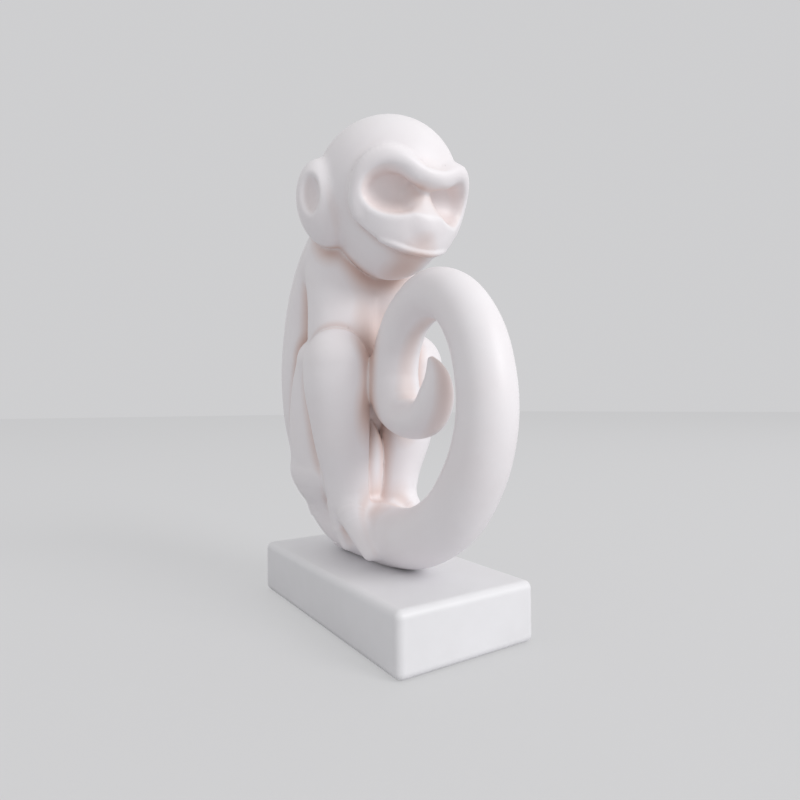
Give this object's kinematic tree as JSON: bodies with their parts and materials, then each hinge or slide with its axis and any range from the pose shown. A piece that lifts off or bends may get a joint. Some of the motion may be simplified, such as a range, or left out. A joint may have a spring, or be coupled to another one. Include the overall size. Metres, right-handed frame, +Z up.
{
  "type": "monkey figurine",
  "caption": "Sitting monkey figurine with a looped, curled tail, pinned together from pale castings and screwed to a rectangular plinth.",
  "frame": {"origin": "centre of the plinth's underside, on the surface that the figurine stands on", "axes": "+Z up, the monkey faces -Y, its left side is +X"},
  "size_m": [0.0636, 0.1202, 0.1815],
  "materials": {
    "figure_cast": "warm white cast resin, matt",
    "plinth_cast": "cool white cast resin, satin",
    "felt": "pressed felt",
    "dowel_wood": "turned beech",
    "pin_steel": "bright steel",
    "insert_brass": "turned brass"
  },
  "bodies": {
    "root": {"tail": "figure_cast", "torso": "figure_cast", "head": "figure_cast", "face_mask": "figure_cast", "right_ear": "figure_cast", "left_ear": "figure_cast", "right_arm": "figure_cast", "left_arm": "figure_cast", "right_thigh": "figure_cast", "left_thigh": "figure_cast", "right_shin": "figure_cast", "left_shin": "figure_cast", "plinth": "plinth_cast", "base_felt": "felt", "neck_dowel": "dowel_wood", "tail_dowel": "dowel_wood", "ear_pins": "pin_steel", "face_pins": "pin_steel", "shoulder_pins": "pin_steel", "hip_pins": "pin_steel", "knee_pins": "pin_steel", "foot_pins": "pin_steel", "fixing_screws": "pin_steel", "screw_washers": "pin_steel", "threaded_inserts": "insert_brass"}
  },
  "joints": []
}
